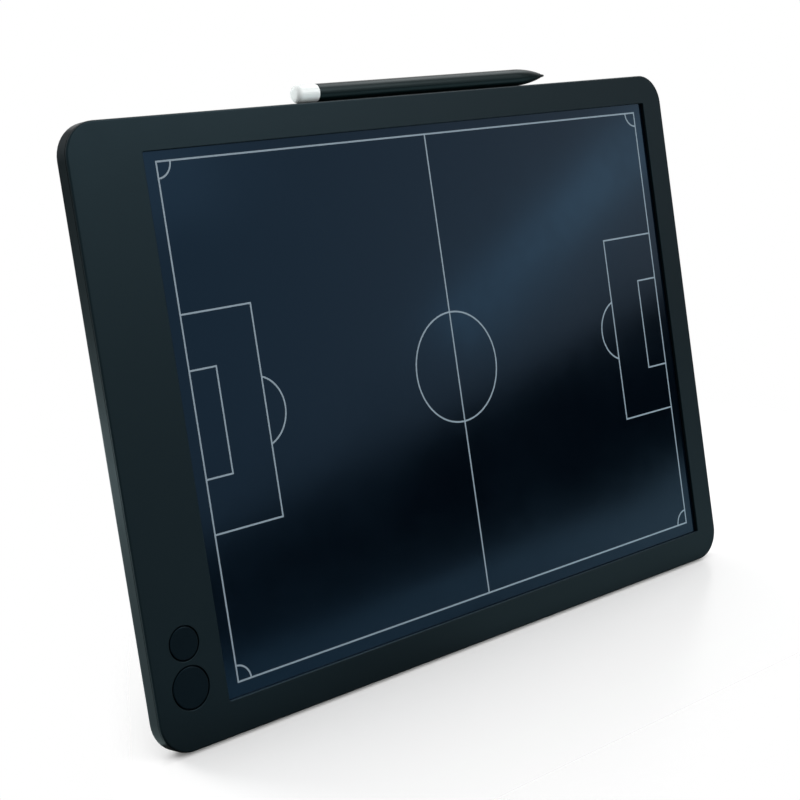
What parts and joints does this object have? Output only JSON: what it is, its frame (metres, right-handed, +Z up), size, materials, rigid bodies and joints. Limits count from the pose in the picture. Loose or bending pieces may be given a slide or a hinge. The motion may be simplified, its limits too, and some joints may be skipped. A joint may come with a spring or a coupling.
{
  "type": "tactics board",
  "caption": "Slim rounded writing tablet printed with a football pitch, with push buttons in a wide side band, a stylus on its top edge and a fold-out rear leg.",
  "frame": {"origin": "on the floor, under the middle of the standing board's bounding box", "axes": "+X to the right as seen from the front, +Y from the screen to the back, +Z up; the board leans back 12.2 degrees"},
  "size_m": [0.363, 0.0644, 0.2603],
  "materials": {
    "case_plastic": "fine moulded grain, black",
    "button_plastic": "satin black",
    "screen_film": "semi-gloss blue-black writing film",
    "line_print": "thin pale grey print",
    "barrel_plastic": "satin black",
    "cap_plastic": "smooth white",
    "nib_plastic": "hard black tip",
    "foot_rubber": "matte black rubber",
    "backing_sheet": "plain dark sheet",
    "tape": "black adhesive tape",
    "circuit_board": "green solder resist",
    "component_black": "moulded component body",
    "component_pale": "pale connector and capacitor body",
    "flex_tail": "amber flexible circuit",
    "screw_steel": "blackened steel",
    "bright_steel": "plain steel",
    "contact_metal": "sprung contact strip",
    "magnet_plate": "nickel plated magnet"
  },
  "bodies": {
    "board": {"front_bezel": "case_plastic", "rear_cover": "case_plastic", "writing_film": "screen_film", "pitch_markings": "line_print", "film_tape": "tape", "backing_board": "backing_sheet", "film_tail": "flex_tail", "control_board": "circuit_board", "driver_chip": "component_black", "boost_inductor": "component_black", "storage_capacitor": "component_pale", "tail_connector": "component_pale", "erase_switch": "component_black", "lock_switch": "component_black", "coin_cell": "bright_steel", "cell_contact_positive": "contact_metal", "cell_contact_negative": "contact_metal", "case_screws": "screw_steel", "board_screws": "bright_steel", "pen_magnets": "magnet_plate", "stand_hinge_pin": "bright_steel"},
    "erase_button": {"erase_button": "button_plastic", "erase_switch_stem": "component_pale"},
    "lock_button": {"lock_button": "button_plastic", "lock_switch_stem": "component_pale"},
    "battery_door": {"battery_door": "case_plastic", "battery_door_screws": "screw_steel"},
    "stylus": {"stylus_barrel": "barrel_plastic", "stylus_cap": "cap_plastic", "stylus_nib": "nib_plastic", "stylus_keeper": "bright_steel"},
    "stand_leg": {"stand_leg": "case_plastic", "stand_foot": "foot_rubber"}
  },
  "joints": [
    {"name": "erase_button_press", "type": "slide", "parent": "board", "child": "erase_button", "axis": [0, 0.9774, -0.2113], "range_m": [0, 0.0005], "stiffness_N_per_m": 900},
    {"name": "lock_button_press", "type": "slide", "parent": "board", "child": "lock_button", "axis": [0, 0.9774, -0.2113], "range_m": [0, 0.0005], "stiffness_N_per_m": 900},
    {"name": "battery_door_lift", "type": "slide", "parent": "board", "child": "battery_door", "axis": [0, 0.9774, -0.2113], "range_m": [0, 0.02]},
    {"name": "stylus_lift", "type": "slide", "parent": "board", "child": "stylus", "axis": [0, 0.2113, 0.9774], "range_m": [0, 0.04]},
    {"name": "leg_fold", "type": "hinge", "parent": "board", "child": "stand_leg", "pos_m": [0, 0.01638, 0.19046], "axis": [1, 0, 0], "range_deg": [-16.5, 0]}
  ]
}
